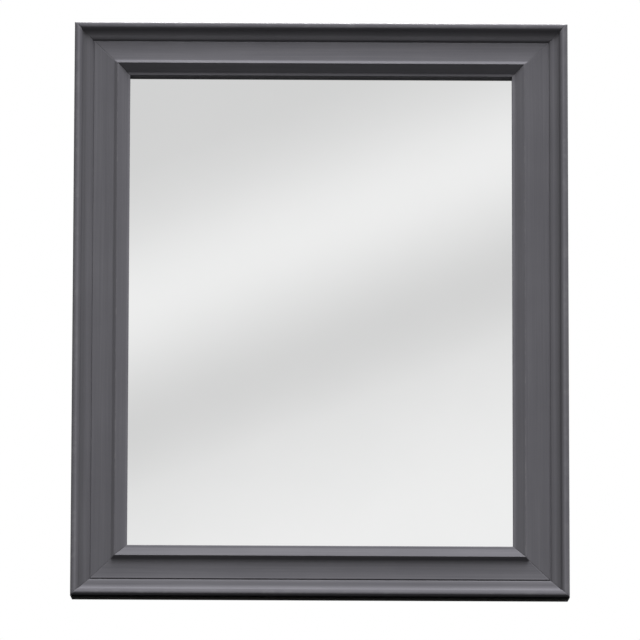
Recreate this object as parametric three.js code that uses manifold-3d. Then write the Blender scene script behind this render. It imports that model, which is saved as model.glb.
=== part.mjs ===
// A framed wall mirror: four mitred lengths of painted moulding round a sheet of silvered glass,
// closed at the back by a foam sheet and a hardboard panel, hung from two D-rings.
// Millimetres. X to the viewer's right, Z up, the wall is the plane y = 0 and the mirror faces -Y.
// The origin is the middle of the frame on the wall.
import * as THREE from "three";
import { mergeVertices } from "three/addons/utils/BufferGeometryUtils.js";
import Module from "manifold-3d";

const wasm = await Module();
wasm.setup();

const degrees = THREE.MathUtils.degToRad;

// ---- Driving dimensions ----

const FRAME_WIDTH = 660;
const FRAME_HEIGHT = 825;
const FIT_GAP = 0.3; // left between two pieces that touch
const CURVE_STEPS = 7; // straight steps in each curve of the moulding

// Moulding, across its face from the outer side to the sight edge.
const SIDE_LEAN = 2.5; // the outer side leans in towards the wall
const CREST_RADIUS = 3.8;
const SHOULDER_WIDTH = 7;
const COVE_WIDTH = 7.2;
const BULGE_WIDTH = 6.4;
const QUIRK_WIDTH = 2.2;
const FLAT_WIDTH = 25.2;
const STEP_WIDTH = 6.4;
const SLOPE_WIDTH = 12;
const LIP_WIDTH = 4.6;

// Moulding, up from its back plane at the sight edge and on towards the outer side.
const REBATE_DEPTH = 9.5;
const LIP_THICKNESS = 6.9;
const SLOPE_RISE = 4.9;
const STEP_RISE = 3;
const BULGE_RISE = 1.5;
const COVE_RISE = 2.8;
const SHOULDER_RISE = 2.6;
const QUIRK_DEPTH = 0.8;
const REBATE_WIDTH = 8;

// Moulding, how steeply its curves leave and arrive: angles from the frame's plane, falling inwards.
const SHOULDER_FALL = degrees(56);
const BULGE_FALL_OUTER = degrees(5);
const BULGE_FALL_INNER = degrees(42);
const SCOOP_TILT = degrees(4);
const STEP_TILT = degrees(35);
const STEP_FOOT_WIDTH = 2;
const STEP_NOSE_WIDTH = 2.8;
const LIP_FALL = degrees(6);
const LIP_RADIUS = 1.4;

// Sheets in the rebate.
const GLASS_THICKNESS = 3;
const GLASS_ARRIS = 0.5;
const GLASS_SIDE_PLAY = 2;
const FOAM_THICKNESS = 1;
const BOARD_THICKNESS = 2.5;
const BOARD_SIDE_PLAY = 1;

// Points that hold the sheets in.
const POINT_THICKNESS = 0.6;
const POINT_WIDTH = 8;
const POINT_LENGTH = 16;
const POINT_DRIVEN_DEPTH = 7;
const POINTS_PER_STILE = 4;
const POINTS_PER_RAIL = 3;

// V-nails across the mitres, pressed in from the back.
const V_NAIL_LEG = 7;
const V_NAIL_THICKNESS = 0.8;
const V_NAIL_HEIGHT = 10;
const V_NAIL_OUTER_INSET = 14;
const V_NAIL_INNER_INSET = 46;

// Rubber bumpers between the frame and the wall.
const BUMPER_HEIGHT = 6;
const BUMPER_RADIUS = 7;
const BUMPER_TAPER = 0.8;
const BUMPER_EDGE = 0.8;
const BUMPER_INSET = 16;
const BUMPER_FROM_CORNER = 62;

// Strap hangers and their D-rings.
const STRAP_THICKNESS = 1;
const STRAP_WIDTH = 11;
const STRAP_LENGTH = 42;
const STRAP_INSET = 31;
const RING_AXIS_HEIGHT = 206; // above the middle of the frame
const RING_WIRE_RADIUS = 1.2;
const RING_PLAY = 0.25; // between the ring's bar and the strap's eye
const RING_HALF_WIDTH = 9.5;
const RING_CORNER_RADIUS = 2.5;
const RING_LEG = 4.5;
const RING_TILT = degrees(4); // the hanging ring leans on its strap
const FIRST_SCREW_DROP = 22.5; // below the ring's bar
const LAST_SCREW_FROM_END = 7; // from the strap's lower end
const SCREW_RADIUS = 1.5;
const SCREW_LENGTH = 12;
const SCREW_TIP = 3;
const SCREW_HEAD_RADIUS = 3.2;
const SCREW_HEAD_HEIGHT = 1.8;
const SCREW_RECESS_LENGTH = 3.8;
const SCREW_RECESS_WIDTH = 0.9;
const SCREW_RECESS_DEPTH = 1.1;

// ---- Sizes worked out from them ----

const ROUNDS_WIDTH = CREST_RADIUS + SHOULDER_WIDTH + COVE_WIDTH + BULGE_WIDTH; // outside the quirk
const FACE_WIDTH = ROUNDS_WIDTH + QUIRK_WIDTH + FLAT_WIDTH + STEP_WIDTH + SLOPE_WIDTH + LIP_WIDTH;
const LIP_TOP = REBATE_DEPTH + LIP_THICKNESS;
const STEP_TOP = LIP_TOP + SLOPE_RISE;
const FLAT_TOP = STEP_TOP - STEP_RISE;
const COVE_FOOT = FLAT_TOP + BULGE_RISE;
const SHOULDER_FOOT = COVE_FOOT + COVE_RISE;
const CREST_CENTRE = SHOULDER_FOOT + SHOULDER_RISE - CREST_RADIUS;

const REBATE_U = FACE_WIDTH - REBATE_WIDTH;
const STAND_OFF = BUMPER_HEIGHT + FIT_GAP; // the frame's back plane, off the wall
const GLASS_FRONT = REBATE_DEPTH - FIT_GAP;
const FOAM_FRONT = GLASS_FRONT - GLASS_THICKNESS - FIT_GAP;
const BOARD_FRONT = FOAM_FRONT - FOAM_THICKNESS - FIT_GAP;
const POINT_FRONT = BOARD_FRONT - BOARD_THICKNESS - FIT_GAP;

const EYE_INNER = RING_WIRE_RADIUS + RING_PLAY;
const EYE_OUTER = EYE_INNER + STRAP_THICKNESS;
const STRAP_BACK = 2 * STRAP_THICKNESS; // both layers of the folded strap

// ---- Solids ----

// A three.js geometry as a closed solid.
function solidFrom(geometry) {
  const bare = geometry.clone();
  bare.deleteAttribute("normal");
  bare.deleteAttribute("uv");
  const merged = mergeVertices(bare, 1e-4);
  const mesh = new wasm.Mesh({
    numProp: 3,
    vertProperties: new Float32Array(merged.attributes.position.array),
    triVerts: new Uint32Array(merged.index.array),
  });
  return new wasm.Manifold(mesh);
}

// A solid as a three.js geometry.
function geometryFrom(solid) {
  const mesh = solid.getMesh();
  const geometry = new THREE.BufferGeometry();
  geometry.setAttribute("position", new THREE.BufferAttribute(mesh.vertProperties, 3));
  geometry.setIndex(new THREE.BufferAttribute(mesh.triVerts, 1));
  geometry.computeVertexNormals();
  return geometry;
}

// A geometry with others cut out of it.
function cutFrom(geometry, cutters) {
  let solid = solidFrom(geometry);
  for (const cutter of cutters) solid = solid.subtract(solidFrom(cutter));
  return geometryFrom(solid);
}

// An outline in (x, z), given a thickness from y = back towards the viewer.
function slab(outline, back, thickness, curveSegments = CURVE_STEPS) {
  const geometry = new THREE.ExtrudeGeometry(outline, { depth: thickness, bevelEnabled: false, curveSegments });
  geometry.rotateX(Math.PI / 2);
  geometry.translate(0, back, 0);
  return geometry;
}

function rectangle(width, height) {
  const shape = new THREE.Shape();
  shape.moveTo(-width / 2, -height / 2);
  shape.lineTo(width / 2, -height / 2);
  shape.lineTo(width / 2, height / 2);
  shape.lineTo(-width / 2, height / 2);
  shape.closePath();
  return shape;
}

// ---- Materials ----

const material = (color, roughness, metalness) => new THREE.MeshStandardMaterial({ color, roughness, metalness });
const paint = material(0x5b5a5f, 0.45, 0);
const silver = material(0xdfe2e2, 0.03, 1);
const foam = material(0xe9e9e4, 0.9, 0);
const hardboard = material(0x7a5436, 0.8, 0);
const zinc = material(0xa9acae, 0.4, 1);
const rubber = material(0x2b2b2b, 0.8, 0);

const part = new THREE.Group();

function addPiece(parent, name, geometry, finish) {
  const mesh = new THREE.Mesh(geometry, finish);
  mesh.name = name;
  parent.add(mesh);
  return mesh;
}

// ---- Moulding ----

// Draws a curve to an end point that leaves at one slope and arrives at another.
function bendTo(shape, endU, endH, slopeOut, slopeIn) {
  const start = shape.currentPoint;
  const outU = Math.cos(slopeOut);
  const outH = Math.sin(slopeOut);
  const inU = Math.cos(slopeIn);
  const inH = Math.sin(slopeIn);
  const reach = ((endU - start.x) * inH - (endH - start.y) * inU) / (outU * inH - outH * inU);
  shape.quadraticCurveTo(start.x + outU * reach, start.y + outH * reach, endU, endH);
}

// The moulding's section: u runs in from the outer side, h up from the back plane.
function mouldingSection() {
  const shape = new THREE.Shape();
  shape.moveTo(SIDE_LEAN, 0);
  shape.lineTo(0, CREST_CENTRE);
  shape.absarc(CREST_RADIUS, CREST_CENTRE, CREST_RADIUS, Math.PI, Math.PI / 2, true);
  let u = CREST_RADIUS + SHOULDER_WIDTH;
  bendTo(shape, u, SHOULDER_FOOT, 0, -SHOULDER_FALL);
  u += COVE_WIDTH;
  bendTo(shape, u, COVE_FOOT, -SHOULDER_FALL, -BULGE_FALL_OUTER);
  u += BULGE_WIDTH;
  bendTo(shape, u, FLAT_TOP, -BULGE_FALL_OUTER, -BULGE_FALL_INNER);
  shape.lineTo(u + QUIRK_WIDTH / 3, FLAT_TOP - QUIRK_DEPTH);
  shape.lineTo(u + (QUIRK_WIDTH * 2) / 3, FLAT_TOP - QUIRK_DEPTH);
  u += QUIRK_WIDTH;
  shape.lineTo(u, FLAT_TOP);
  u += FLAT_WIDTH;
  bendTo(shape, u, FLAT_TOP, -SCOOP_TILT, SCOOP_TILT);
  const slopeFall = Math.atan2(SLOPE_RISE, SLOPE_WIDTH);
  const footRise = (STEP_FOOT_WIDTH * Math.tan(STEP_TILT)) / 3;
  bendTo(shape, u + STEP_FOOT_WIDTH, FLAT_TOP + footRise, SCOOP_TILT, STEP_TILT);
  u += STEP_WIDTH;
  const noseRun = STEP_WIDTH - STEP_NOSE_WIDTH - STEP_FOOT_WIDTH;
  const noseStart = FLAT_TOP + footRise + noseRun * Math.tan(STEP_TILT);
  shape.lineTo(u - STEP_NOSE_WIDTH, noseStart);
  bendTo(shape, u, STEP_TOP, STEP_TILT, -slopeFall);
  u += SLOPE_WIDTH;
  shape.lineTo(u, LIP_TOP);
  bendTo(shape, FACE_WIDTH - LIP_RADIUS, LIP_TOP - LIP_WIDTH * Math.tan(LIP_FALL), -slopeFall, -LIP_FALL);
  const wallTop = shape.currentPoint.y - LIP_RADIUS;
  bendTo(shape, FACE_WIDTH, wallTop, -LIP_FALL, -Math.PI / 2);
  shape.lineTo(FACE_WIDTH, REBATE_DEPTH);
  shape.lineTo(REBATE_U, REBATE_DEPTH);
  shape.lineTo(REBATE_U, 0);
  shape.closePath();
  return shape;
}

// One length of moulding lying along the bottom of a frame, both ends cut on the mitre.
function mouldingLength(length, across) {
  const geometry = new THREE.ExtrudeGeometry(mouldingSection(), {
    depth: 1,
    bevelEnabled: false,
    curveSegments: CURVE_STEPS,
  });
  const position = geometry.getAttribute("position");
  for (let i = 0; i < position.count; i += 1) {
    const u = position.getX(i);
    const h = position.getY(i);
    const side = position.getZ(i) > 0.5 ? 1 : -1;
    position.setXYZ(i, side * (length / 2 - u - FIT_GAP / 2), -h, u - across / 2);
  }
  return geometry;
}

// The L of a V-nail from the frame's corner at the origin, grown by a clearance for its slot.
function vNailOutline(inset, grow) {
  const near = inset - V_NAIL_THICKNESS / 2 - grow;
  const inner = inset + V_NAIL_THICKNESS / 2 + grow;
  const far = inset + V_NAIL_LEG + grow;
  const shape = new THREE.Shape();
  shape.moveTo(near, near);
  shape.lineTo(far, near);
  shape.lineTo(far, inner);
  shape.lineTo(inner, inner);
  shape.lineTo(inner, far);
  shape.lineTo(near, far);
  shape.closePath();
  return shape;
}

const V_NAIL_INSETS = { outer: V_NAIL_OUTER_INSET, inner: V_NAIL_INNER_INSET };

// The slots for V-nails at both ends of a length of moulding.
function vNailSlots(length, across) {
  const slots = [];
  for (const inset of Object.values(V_NAIL_INSETS)) {
    const depth = FIT_GAP + V_NAIL_HEIGHT + 2 * FIT_GAP;
    const left = slab(vNailOutline(inset, FIT_GAP), FIT_GAP, depth);
    const right = left.clone().rotateY(-Math.PI / 2);
    left.translate(-length / 2, 0, -across / 2);
    right.translate(length / 2, 0, -across / 2);
    slots.push(left, right);
  }
  return slots;
}

// A framer's point: a flat tab whose sharp end is driven into the rebate wall at z = 0.
function pointOutline(grow) {
  const half = POINT_WIDTH / 2 + grow;
  const shape = new THREE.Shape();
  shape.moveTo(0, -POINT_DRIVEN_DEPTH - grow);
  shape.lineTo(half, -POINT_DRIVEN_DEPTH / 2 - grow);
  shape.lineTo(half, POINT_LENGTH - POINT_DRIVEN_DEPTH + grow);
  shape.lineTo(-half, POINT_LENGTH - POINT_DRIVEN_DEPTH + grow);
  shape.lineTo(-half, -POINT_DRIVEN_DEPTH / 2 - grow);
  shape.closePath();
  return shape;
}

// Places along a side for a number of points, each in the middle of an equal share of the rebate.
function pointPlaces(count, length) {
  const run = length - 2 * REBATE_U;
  return Array.from({ length: count }, (_, i) => run * ((i + 0.5) / count - 0.5));
}

// A round hole along Y, open at the back plane.
function backHole(radius, depth, x, z) {
  const hole = new THREE.CylinderGeometry(radius, radius, depth + FIT_GAP, 16);
  hole.translate(x, FIT_GAP - (depth + FIT_GAP) / 2, z);
  return hole;
}

const SCREW_DROPS = { upper: FIRST_SCREW_DROP, lower: STRAP_LENGTH - LAST_SCREW_FROM_END };
const SCREW_SEAT = STRAP_BACK + 2 * FIT_GAP; // under the screw head, behind the frame's back plane
const WOOD_HOLE_DEPTH = SCREW_LENGTH - SCREW_SEAT + 2 * FIT_GAP;

// The four sides of the frame, each turned from the bottom one, with what is fastened to its rebate.
const SIDES = [
  { name: "bottom_rail", label: "bottom", turn: 0, length: FRAME_WIDTH, across: FRAME_HEIGHT, points: POINTS_PER_RAIL },
  { name: "left_stile", label: "left", turn: 1, length: FRAME_HEIGHT, across: FRAME_WIDTH, points: POINTS_PER_STILE },
  { name: "top_rail", label: "top", turn: 2, length: FRAME_WIDTH, across: FRAME_HEIGHT, points: POINTS_PER_RAIL },
  { name: "right_stile", label: "right", turn: 3, length: FRAME_HEIGHT, across: FRAME_WIDTH, points: POINTS_PER_STILE },
];

// Along a stile that has been turned upright, +x of the bottom length points down on the left and up on the right.
const UP_ALONG = { left: -1, right: 1 };

function addSide(side) {
  const group = new THREE.Group();
  group.position.y = -STAND_OFF;
  group.rotation.y = (side.turn * Math.PI) / 2;
  const cutters = vNailSlots(side.length, side.across);
  const places = pointPlaces(side.points, side.length);
  const rebateWall = REBATE_U - side.across / 2;
  places.forEach((place, i) => {
    const slot = slab(pointOutline(FIT_GAP), FIT_GAP - POINT_FRONT + POINT_THICKNESS, POINT_THICKNESS + 2 * FIT_GAP);
    cutters.push(slot.translate(place, 0, rebateWall));
    const tab = slab(pointOutline(0), POINT_THICKNESS - POINT_FRONT, POINT_THICKNESS);
    addPiece(group, `framer_point_${side.label}_${i + 1}`, tab, zinc).position.set(place, 0, rebateWall);
  });
  const upward = UP_ALONG[side.label];
  if (upward) {
    for (const drop of Object.values(SCREW_DROPS)) {
      const along = upward * (RING_AXIS_HEIGHT - drop);
      cutters.push(backHole(SCREW_RADIUS + FIT_GAP, WOOD_HOLE_DEPTH, along, STRAP_INSET - side.across / 2));
    }
  }
  addPiece(group, side.name, cutFrom(mouldingLength(side.length, side.across), cutters), paint);
  part.add(group);
}

SIDES.forEach(addSide);

// ---- V-nails ----

const CORNERS = [
  { name: "bottom_left", x: -1, z: -1, turn: 0 },
  { name: "top_left", x: -1, z: 1, turn: 1 },
  { name: "top_right", x: 1, z: 1, turn: 2 },
  { name: "bottom_right", x: 1, z: -1, turn: 3 },
];

function addVNails(corner) {
  for (const [place, inset] of Object.entries(V_NAIL_INSETS)) {
    const nail = addPiece(
      part,
      `v_nail_${corner.name}_${place}`,
      slab(vNailOutline(inset, 0), 0, V_NAIL_HEIGHT),
      zinc,
    );
    nail.position.set((corner.x * FRAME_WIDTH) / 2, -STAND_OFF - FIT_GAP, (corner.z * FRAME_HEIGHT) / 2);
    nail.rotation.y = (corner.turn * Math.PI) / 2;
  }
}

CORNERS.forEach(addVNails);

// ---- Glass, foam and backing ----

// A sheet that fills the rebate but for some play on each side.
function sheetOutline(play) {
  const lost = 2 * (REBATE_U + play);
  return rectangle(FRAME_WIDTH - lost, FRAME_HEIGHT - lost);
}

function addGlass() {
  const outline = sheetOutline(GLASS_SIDE_PLAY + GLASS_ARRIS);
  const geometry = new THREE.ExtrudeGeometry(outline, {
    depth: GLASS_THICKNESS - 2 * GLASS_ARRIS,
    bevelSize: GLASS_ARRIS,
    bevelThickness: GLASS_ARRIS,
    bevelSegments: 1,
  });
  geometry.rotateX(Math.PI / 2);
  geometry.translate(0, -STAND_OFF - GLASS_FRONT + GLASS_THICKNESS - GLASS_ARRIS, 0);
  addPiece(part, "mirror_glass", geometry, silver);
}

function addSheet(name, front, thickness, play, finish) {
  addPiece(part, name, slab(sheetOutline(play), -STAND_OFF - front + thickness, thickness), finish);
}

addGlass();
addSheet("foam_sheet", FOAM_FRONT, FOAM_THICKNESS, GLASS_SIDE_PLAY, foam);
addSheet("backing_board", BOARD_FRONT, BOARD_THICKNESS, BOARD_SIDE_PLAY, hardboard);

// ---- Strap hangers ----

// The folded strap seen from its side, round the bar at the origin: x up the strap, y away from the frame.
function strapSide() {
  const meet = Math.asin((STRAP_BACK - EYE_OUTER) / EYE_OUTER);
  const shape = new THREE.Shape();
  shape.moveTo(-STRAP_LENGTH, -EYE_OUTER);
  shape.lineTo(0, -EYE_OUTER);
  shape.absarc(0, 0, EYE_OUTER, -Math.PI / 2, Math.PI - meet, false);
  shape.lineTo(-STRAP_LENGTH, STRAP_BACK - EYE_OUTER);
  shape.closePath();
  const eye = new THREE.Path();
  eye.absarc(0, 0, EYE_INNER, 0, 2 * Math.PI, true);
  shape.holes.push(eye);
  return shape;
}

// The strap seen from behind, its lower end round.
function strapFace() {
  const half = STRAP_WIDTH / 2;
  const shape = new THREE.Shape();
  shape.moveTo(half, EYE_OUTER + 1);
  shape.lineTo(-half, EYE_OUTER + 1);
  shape.lineTo(-half, half - STRAP_LENGTH);
  shape.absarc(0, half - STRAP_LENGTH, half, -Math.PI, 0, false);
  shape.closePath();
  return shape;
}

function strapGeometry() {
  const side = new THREE.ExtrudeGeometry(strapSide(), { depth: STRAP_WIDTH, bevelEnabled: false, curveSegments: 20 });
  side.translate(0, 0, -STRAP_WIDTH / 2);
  side.applyMatrix4(
    new THREE.Matrix4().makeBasis(
      new THREE.Vector3(0, 0, 1),
      new THREE.Vector3(0, 1, 0),
      new THREE.Vector3(-1, 0, 0),
    ),
  );
  const face = slab(strapFace(), 2 * EYE_OUTER, 4 * EYE_OUTER, 10);
  let solid = solidFrom(side).intersect(solidFrom(face));
  for (const drop of Object.values(SCREW_DROPS)) {
    const hole = new THREE.CylinderGeometry(SCREW_RADIUS + FIT_GAP, SCREW_RADIUS + FIT_GAP, 4 * EYE_OUTER, 16);
    solid = solid.subtract(solidFrom(hole.translate(0, 0, -drop)));
  }
  return geometryFrom(solid);
}

// The D-ring's centre line, from the middle of its bar, hanging down.
function ringCurve() {
  const bar = RING_HALF_WIDTH - RING_CORNER_RADIUS;
  const bowTop = -RING_CORNER_RADIUS - RING_LEG;
  const outline = new THREE.Shape();
  outline.moveTo(0, 0);
  outline.lineTo(bar, 0);
  outline.absarc(bar, -RING_CORNER_RADIUS, RING_CORNER_RADIUS, Math.PI / 2, 0, true);
  outline.lineTo(RING_HALF_WIDTH, bowTop);
  outline.absarc(0, bowTop, RING_HALF_WIDTH, 0, -Math.PI, true);
  outline.lineTo(-RING_HALF_WIDTH, -RING_CORNER_RADIUS);
  outline.absarc(-bar, -RING_CORNER_RADIUS, RING_CORNER_RADIUS, Math.PI, Math.PI / 2, true);
  outline.lineTo(0, 0);
  return outline;
}

function ringGeometry() {
  const outline = ringCurve();
  const curve = new THREE.Curve();
  curve.getPoint = (t) => {
    const p = outline.getPointAt(t % 1);
    return new THREE.Vector3(p.x, 0, p.y);
  };
  return new THREE.TubeGeometry(curve, 44, RING_WIRE_RADIUS, 10, true);
}

// A pan-head screw along Y: its head rises to +Y from its seat at the origin.
function screwGeometry() {
  const profile = [
    new THREE.Vector2(0, -SCREW_LENGTH),
    new THREE.Vector2(SCREW_RADIUS, -SCREW_LENGTH + SCREW_TIP),
    new THREE.Vector2(SCREW_RADIUS, 0),
    new THREE.Vector2(SCREW_HEAD_RADIUS, 0),
    new THREE.Vector2(SCREW_HEAD_RADIUS, SCREW_HEAD_HEIGHT * 0.5),
    new THREE.Vector2(SCREW_HEAD_RADIUS * 0.75, SCREW_HEAD_HEIGHT * 0.95),
    new THREE.Vector2(0, SCREW_HEAD_HEIGHT),
  ];
  const body = new THREE.LatheGeometry(profile, 20);
  const slotTall = 2 * SCREW_RECESS_DEPTH;
  const slots = [
    new THREE.BoxGeometry(SCREW_RECESS_LENGTH, slotTall, SCREW_RECESS_WIDTH),
    new THREE.BoxGeometry(SCREW_RECESS_WIDTH, slotTall, SCREW_RECESS_LENGTH),
  ];
  return cutFrom(body, slots.map((slot) => slot.translate(0, SCREW_HEAD_HEIGHT, 0)));
}

function addHanger(label, side) {
  const group = new THREE.Group();
  const backPlane = -STAND_OFF + FIT_GAP;
  group.position.set(side * (FRAME_WIDTH / 2 - STRAP_INSET), backPlane + EYE_OUTER, RING_AXIS_HEIGHT);
  addPiece(group, `${label}_hanger_strap`, strapGeometry(), zinc);
  addPiece(group, `${label}_d_ring`, ringGeometry(), zinc).rotation.x = RING_TILT;
  for (const [place, drop] of Object.entries(SCREW_DROPS)) {
    const seat = STRAP_BACK - EYE_OUTER + FIT_GAP;
    addPiece(group, `${label}_strap_screw_${place}`, screwGeometry(), zinc).position.set(0, seat, -drop);
  }
  part.add(group);
}

addHanger("left", -1);
addHanger("right", 1);

// ---- Bumpers ----

function bumperGeometry() {
  const tip = BUMPER_RADIUS - BUMPER_TAPER;
  const profile = [
    new THREE.Vector2(0, -BUMPER_HEIGHT),
    new THREE.Vector2(BUMPER_RADIUS, -BUMPER_HEIGHT),
    new THREE.Vector2(tip, -BUMPER_EDGE),
    new THREE.Vector2(tip - BUMPER_EDGE, 0),
    new THREE.Vector2(0, 0),
  ];
  return new THREE.LatheGeometry(profile, 28);
}

for (const corner of CORNERS) {
  const bumper = addPiece(part, `bumper_${corner.name}`, bumperGeometry(), rubber);
  bumper.position.x = corner.x * (FRAME_WIDTH / 2 - BUMPER_INSET);
  bumper.position.z = corner.z * (FRAME_HEIGHT / 2 - BUMPER_FROM_CORNER);
}

export default part;
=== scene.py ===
"""A framed wall mirror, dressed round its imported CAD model.

Metres in Blender; the sizes below are in millimetres and repeat those of the part's source.
X to the viewer's right, Z up, the wall is the plane y = 0 and the mirror faces -Y.
"""
import math
import bmesh
import bpy
from mathutils import Matrix, Vector


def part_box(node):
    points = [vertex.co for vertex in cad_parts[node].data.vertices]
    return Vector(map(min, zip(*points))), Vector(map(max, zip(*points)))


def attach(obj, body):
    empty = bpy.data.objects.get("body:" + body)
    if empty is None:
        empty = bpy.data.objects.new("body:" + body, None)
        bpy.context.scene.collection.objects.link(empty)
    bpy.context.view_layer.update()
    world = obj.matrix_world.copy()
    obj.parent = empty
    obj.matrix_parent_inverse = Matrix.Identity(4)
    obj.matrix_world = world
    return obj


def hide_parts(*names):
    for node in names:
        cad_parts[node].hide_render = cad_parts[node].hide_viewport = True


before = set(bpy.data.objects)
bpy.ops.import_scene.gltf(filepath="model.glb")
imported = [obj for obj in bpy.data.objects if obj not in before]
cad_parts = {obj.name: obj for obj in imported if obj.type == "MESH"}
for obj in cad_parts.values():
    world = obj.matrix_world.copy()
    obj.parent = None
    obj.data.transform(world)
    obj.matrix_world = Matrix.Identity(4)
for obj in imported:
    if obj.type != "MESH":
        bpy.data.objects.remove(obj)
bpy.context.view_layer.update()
MM = 0.001


# ---- Sizes, in millimetres ----

FIT_GAP = 0.3
FRAME_WIDTH = 2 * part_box("right_stile")[1].x / MM
FRAME_HEIGHT = 2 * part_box("top_rail")[1].z / MM
STAND_OFF = -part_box("top_rail")[1].y / MM  # the frame's back plane, off the wall

# The moulding's section, across its face from the outer side to the sight edge.
SIDE_LEAN = 2.5  # the outer side leans in towards the wall
CREST_RADIUS = 3.8
SHOULDER_WIDTH = 7
COVE_WIDTH = 7.2
BULGE_WIDTH = 6.4
QUIRK_WIDTH = 2.2
FLAT_WIDTH = 25.2
STEP_WIDTH = 6.4
SLOPE_WIDTH = 12
LIP_WIDTH = 4.6
REBATE_WIDTH = 8

# The section's heights above its back plane, from the sight edge outwards.
REBATE_DEPTH = 9.5
LIP_THICKNESS = 6.9
SLOPE_RISE = 4.9
STEP_RISE = 3
BULGE_RISE = 1.5
COVE_RISE = 2.8
SHOULDER_RISE = 2.6
QUIRK_DEPTH = 0.8

# How steeply the section's curves leave and arrive.
SHOULDER_FALL = math.radians(56)
BULGE_FALL_OUTER = math.radians(5)
BULGE_FALL_INNER = math.radians(42)
SCOOP_TILT = math.radians(4)
STEP_TILT = math.radians(35)
STEP_FOOT_WIDTH = 2
STEP_NOSE_WIDTH = 2.8
LIP_FALL = math.radians(6)
LIP_RADIUS = 1.4

# Fine edges that the CAD solids leave sharp.
EASED_EDGE = 0.7
EASED_QUIRK = 0.45
EASED_SHARE = 0.4  # the most that an eased corner takes of the stretch beside it
EASED_STEPS = 4
MITRE_GAP = 0.04
MITRE_EASING = 0.08
MITRE_RUN = 0.3
MITRE_SHADING = 1.5  # a short stretch that keeps the eased end out of the long faces' shading
CURVE_STEPS = 22

FACE_WIDTH = (CREST_RADIUS + SHOULDER_WIDTH + COVE_WIDTH + BULGE_WIDTH + QUIRK_WIDTH
              + FLAT_WIDTH + STEP_WIDTH + SLOPE_WIDTH + LIP_WIDTH)
REBATE_U = FACE_WIDTH - REBATE_WIDTH
LIP_TOP = REBATE_DEPTH + LIP_THICKNESS
STEP_TOP = LIP_TOP + SLOPE_RISE
FLAT_TOP = STEP_TOP - STEP_RISE
COVE_FOOT = FLAT_TOP + BULGE_RISE
SHOULDER_FOOT = COVE_FOOT + COVE_RISE
CREST_TOP = SHOULDER_FOOT + SHOULDER_RISE

# Where the paint ends on the section.
ON_PLANE = 0.01  # a point nearer to a plane than this lies on it
SIGHT_EDGE = 0.2  # a stretch nearer to the sight edge than this is its painted wall

# What is let into the back of the moulding.
POINT_THICKNESS = 0.6
POINT_WIDTH = 8
POINT_LENGTH = 16
POINT_DRIVEN_DEPTH = 7
POINT_FRONT = 1.8
V_NAIL_LEG = 7
V_NAIL_THICKNESS = 0.8
V_NAIL_HEIGHT = 10
V_NAIL_INSETS = (14, 46)
SCREW_RADIUS = 1.5
SCREW_LENGTH = 12
SCREW_TIP = 3
SCREW_HEAD_RADIUS = 3.2
SCREW_HEAD_HEIGHT = 1.8
SCREW_HEAD_ARRIS = 0.15
SCREW_DOME_START = 0.35  # of the head's height
SCREW_RECESS_LENGTH = 3.8
SCREW_RECESS_WIDTH = 0.9
SCREW_RECESS_DEPTH = 1.1
SCREW_TURN = math.radians(20)
SCREW_DROPS = {"upper": 22.5, "lower": 35}
SCREW_HOLE_STEPS = 24

# Hangers.
STRAP_THICKNESS = 1
STRAP_WIDTH = 11
STRAP_LENGTH = 42
STRAP_INSET = 31
STRAP_SEAM = 0.12
STRAP_EASING = 0.14
STRAP_SPARE = 1  # how far the cut to the strap's face reaches past the eye
STRAP_STEPS = 32
EYE_STEPS = 40
RING_AXIS_HEIGHT = 206
RING_WIRE_RADIUS = 1.2
RING_PLAY = 0.25
RING_HALF_WIDTH = 9.5
RING_CORNER_RADIUS = 2.5
RING_LEG = 4.5
RING_TILT = math.radians(4)
RING_BAR_STEPS = 6
RING_CORNER_STEPS = 10
RING_BOW_STEPS = 54
WIRE_SIDES = 20

EYE_INNER = RING_WIRE_RADIUS + RING_PLAY
EYE_OUTER = EYE_INNER + STRAP_THICKNESS
STRAP_BACK = 2 * STRAP_THICKNESS

# Bumpers and sheets.
BUMPER_HEIGHT = 6
BUMPER_RADIUS = 7
BUMPER_TAPER = 0.8
BUMPER_EDGE = 0.8
BUMPER_ARRIS = 0.3
BUMPER_EDGE_STEPS = 6
BUMPER_INSET = 16
BUMPER_FROM_CORNER = 62
GLASS_ARRIS = 0.5
BOARD_EASING = 0.25
TURNED_STEPS = 48


# ---- Camera, a long lens from below, as the photograph's mitres and dark edges show ----

CAMERA_AZIMUTH = math.radians(-0.38)
CAMERA_ELEVATION = math.radians(-22.5)
CAMERA_ROLL = math.radians(0.13)
CAMERA_DISTANCE = 21.46
CAMERA_AIM = Vector((-0.0007, -0.02, -0.0142))
CAMERA_CLIP = (1, 100)
SENSOR_WIDTH = 36
FOCAL_PIXELS = 16130
IMAGE_PIXELS = 640


def add_camera():
    """The camera stands off the front face and looks up at the aim point."""
    flat = math.cos(CAMERA_ELEVATION)
    back = Vector((math.sin(CAMERA_AZIMUTH) * flat, -math.cos(CAMERA_AZIMUTH) * flat,
                   math.sin(CAMERA_ELEVATION)))
    data = bpy.data.cameras.new("camera")
    data.sensor_width = SENSOR_WIDTH
    data.lens = FOCAL_PIXELS / IMAGE_PIXELS * SENSOR_WIDTH
    data.clip_start, data.clip_end = CAMERA_CLIP
    camera = bpy.data.objects.new("camera", data)
    camera.location = Vector((0, CAMERA_AIM.y, 0)) + back * CAMERA_DISTANCE
    look = (CAMERA_AIM - camera.location).to_track_quat("-Z", "Y")
    camera.rotation_mode = "QUATERNION"
    camera.rotation_quaternion = look @ Matrix.Rotation(CAMERA_ROLL, 3, "Z").to_quaternion()
    bpy.context.collection.objects.link(camera)
    bpy.context.scene.camera = camera


# ---- Node helpers ----

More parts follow.
